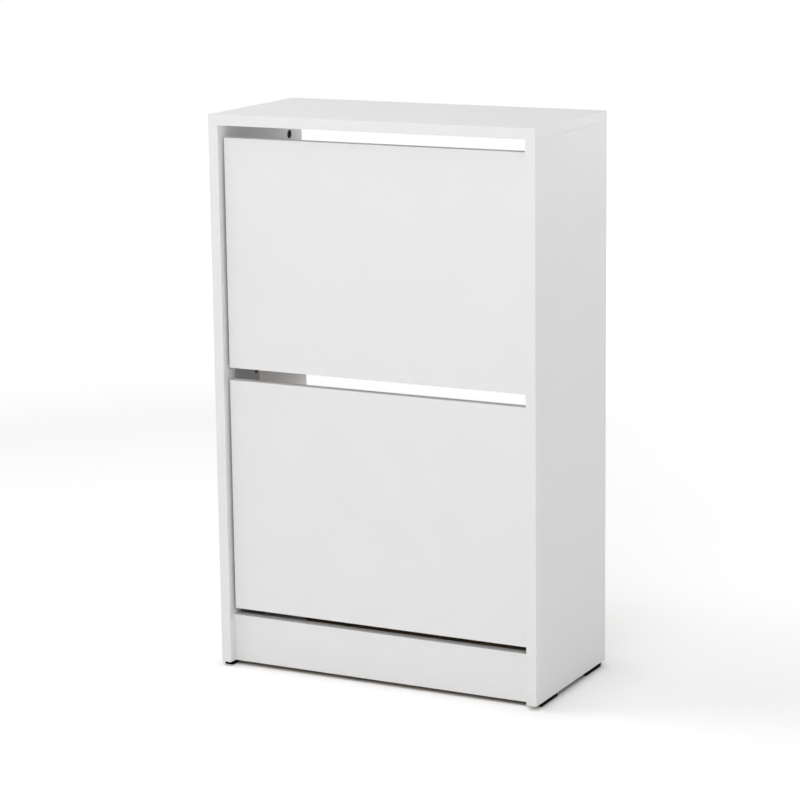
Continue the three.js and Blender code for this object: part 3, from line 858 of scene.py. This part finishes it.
def bracket(level, side):
    """A moulded bracket: web, screw flange, pivot boss, board grooves and stiffening ribs."""
    node = f"{level}_bracket_{side}"
    low, high = node_box(f"{level}_bracket_right")
    z = DOOR_BOTTOM[level]
    outer = BRACKET_OUTER
    web = outer - BRACKET_WEB
    rib_x = web - RIB_DEPTH
    root = web + 1  # the ribs run this far into the web
    hub = (web, *pivot_place(level))
    thing = grey(f"{node}_moulding", slab(bracket_outline(level, low, high), web, outer, MOULDED_EDGE))
    groove_bottom = z + FLOOR_UP - FIT
    groove_top = z + FLOOR_UP + THIN_BOARD + FIT
    divider = node_box(f"{level}_divider_board")
    rear = node_box(f"{level}_rear_board")
    # Each box is a low corner, a high corner and an edge radius. The first one is the screw flange.
    boxes = [
        ((low.x, DOOR_BACK, z + 70), (root, DOOR_BACK + 3, z + BRACKET_TOP - 4), 0.6),
        ((rib_x, DOOR_BACK, z + BRACKET_BOTTOM), (root, high.y - 2, groove_bottom), RIB_EDGE),
        ((rib_x, DOOR_BACK, groove_top), (root, divider[0].y - RIB - FIT, groove_top + RIB), RIB_EDGE),
    ]
    for board_low, board_high in (divider, rear):
        top = board_high.z
        ahead = board_low.y - FIT
        behind = board_high.y + FIT
        boxes.append(((rib_x, ahead - RIB, groove_top), (root, ahead, top), RIB_EDGE))
        boxes.append(((rib_x, behind, groove_top), (root, min(behind + RIB, high.y), top), RIB_EDGE))
    additions = [grey("rib", rounded_box(a, b, edge, 2)) for a, b, edge in boxes]
    boss_end = high.x - web
    boss_rim = [(BOSS_RADIUS, 1), (BOSS_RADIUS, boss_end - 0.5), (BOSS_RADIUS - 0.5, boss_end)]
    boss = [(0, 1), *boss_rim, (0, boss_end)]
    additions.append(grey("boss", turned(boss, 48, hub, "x")))
    combine(thing, additions, "UNION")
    cutters = [
        grey("slot", slab(stop_slot(level), rib_x - 1, outer + 1, 0.01, 1)),
        grey("bore", cylinder(PIN_BORE, -20, 20, 40, hub, "x")),
    ]
    for index in (1, 2):
        screw = f"{level}_bracket_screw_right_{index}"
        middle = node_middle(screw)
        cutters.append(grey("sink", turned(SINK, 32, (middle.x, node_box(screw)[1].y, middle.z), "y")))
    combine(thing, cutters, "DIFFERENCE")
    if side == "left":
        mirrored(thing)
    finish_piece(thing, BODY[level], [node])


def make_fittings():
    for level in LEVELS:
        make_thin_boards(level)
        for side in SIDES:
            pivot_plate(level, side)
            bracket(level, side)


# ---- studio --------------------------------------------------------------------------------------------
def make_camera():
    """The viewing angle: from the front right, a little above, with a long lens."""
    yaw, pitch, roll = (math.radians(angle) for angle in (27.29, 12.0, -0.71))
    forward = Vector((-math.sin(yaw) * math.cos(pitch), math.cos(yaw) * math.cos(pitch), -math.sin(pitch)))
    level = Vector((math.cos(yaw), math.sin(yaw), 0))
    upright = level.cross(forward)
    across = math.cos(roll) * level + math.sin(roll) * upright
    up = math.cos(roll) * upright - math.sin(roll) * level
    camera = bpy.data.objects.new("camera", bpy.data.cameras.new("camera"))
    camera.data.sensor_width = 36
    camera.data.lens = 125.4
    camera.data.clip_end = 100
    axes = Matrix((across, up, -forward)).transposed().to_4x4()
    place = Vector((1761, -3445, 1208 + PANEL_BOTTOM))
    camera.matrix_world = Matrix.Translation(place * MM) @ axes
    bpy.context.scene.collection.objects.link(camera)
    bpy.context.scene.camera = camera


def area_light(name, place, target, size, power):
    light = bpy.data.lights.new(name, "AREA")
    light.shape = "RECTANGLE"
    light.size, light.size_y = size
    light.energy = power
    thing = bpy.data.objects.new(name, light)
    direction = Vector(target) - Vector(place)
    thing.location = place
    thing.rotation_euler = direction.to_track_quat("-Z", "Y").to_euler()
    bpy.context.scene.collection.objects.link(thing)


# Place, target and size in metres, and power in watts.
MIDDLE = (0, 0, 0.45)
LIGHTS = {
    "front": ((0.6, -2.6, 2.2), MIDDLE, (1.6, 1.6), 21),
    "high_left": ((-2.2, -0.6, 3.4), MIDDLE, (2.0, 2.0), 37),
    "top": ((-0.2, -0.3, 2.6), MIDDLE, (2.0, 2.0), 15.5),
    "backdrop": ((0, 3.0, 2.0), (0, 0, 1.2), (6.0, 2.4), 6),
    "back_low": ((0.8, 2.4, 0.9), (0, 0, 0.6), (2.4, 1.0), 12),
}
WORLD_STRENGTH = 0.34

# How strongly the floor glows, at distances from the cabinet's footprint: painted light on the floor, whose
# fall to nothing at the footprint paints the shade around and under the cabinet. The glow reaches a little
# way in under the front and the back.
FLOOR_GLOW = 0.68
GLOW_REACH = 3000
GLOW_TUCK = 20
GLOW_STAGES = ((0, 0), (12, 0.25), (100, 0.37), (1500, 0.37), (GLOW_REACH, 1))


def make_lights():
    for name, (place, target, size, power) in LIGHTS.items():
        area_light(name, place, target, size, power)
    world = bpy.data.worlds.new("studio")
    world.use_nodes = True
    background = world.node_tree.nodes["Background"]
    background.inputs["Color"].default_value = (1, 1, 1, 1)
    background.inputs["Strength"].default_value = WORLD_STRENGTH
    bpy.context.scene.world = world
    bpy.context.scene.view_settings.view_transform = "Standard"


def white_floor():
    """White paper on a lit table, with a painted glow. There is no glow under the cabinet and less of it
    near by: painted shade around the cabinet.
    """
    n = Nodes("white_floor")
    n.set(Base_Color=(0.93, 0.93, 0.93, 1), Roughness=0.9)
    n.set(Emission_Strength=FLOOR_GLOW)

    def vector_math(operation, first, second=None):
        node = n.tree.nodes.new("ShaderNodeVectorMath")
        node.operation = operation
        n.link(first, node.inputs[0])
        if second is not None:
            node.inputs[1].default_value = second
        return node.outputs["Value" if operation == "LENGTH" else "Vector"]

    # Painted shade: the glow is measured from the footprint, so the floor darkens towards and under the
    # cabinet.
    half_size = (CABINET_HIGH.x, CABINET_HIGH.y - GLOW_TUCK, 0)
    outside = vector_math("SUBTRACT", vector_math("ABSOLUTE", n.coordinates()), half_size)
    distance = vector_math("LENGTH", vector_math("MAXIMUM", outside, (0, 0, 0)))
    share = n.tree.nodes.new("ShaderNodeMath")
    share.operation = "DIVIDE"
    share.inputs[1].default_value = GLOW_REACH
    n.link(distance, share.inputs[0])
    glow = n.ramp(share.outputs["Value"], [(far / GLOW_REACH, level) for far, level in GLOW_STAGES])
    n.link(glow, n.shader.inputs["Emission Color"])
    return n.material


def make_floor():
    bm = bmesh.new()
    bmesh.ops.create_grid(bm, x_segments=1, y_segments=1, size=40000)
    floor = to_object("floor", bm, (white_floor(),))
    floor.data.transform(Matrix.Scale(MM, 4))


make_boards()
make_fasteners()
make_fittings()
make_floor()
make_lights()
make_camera()
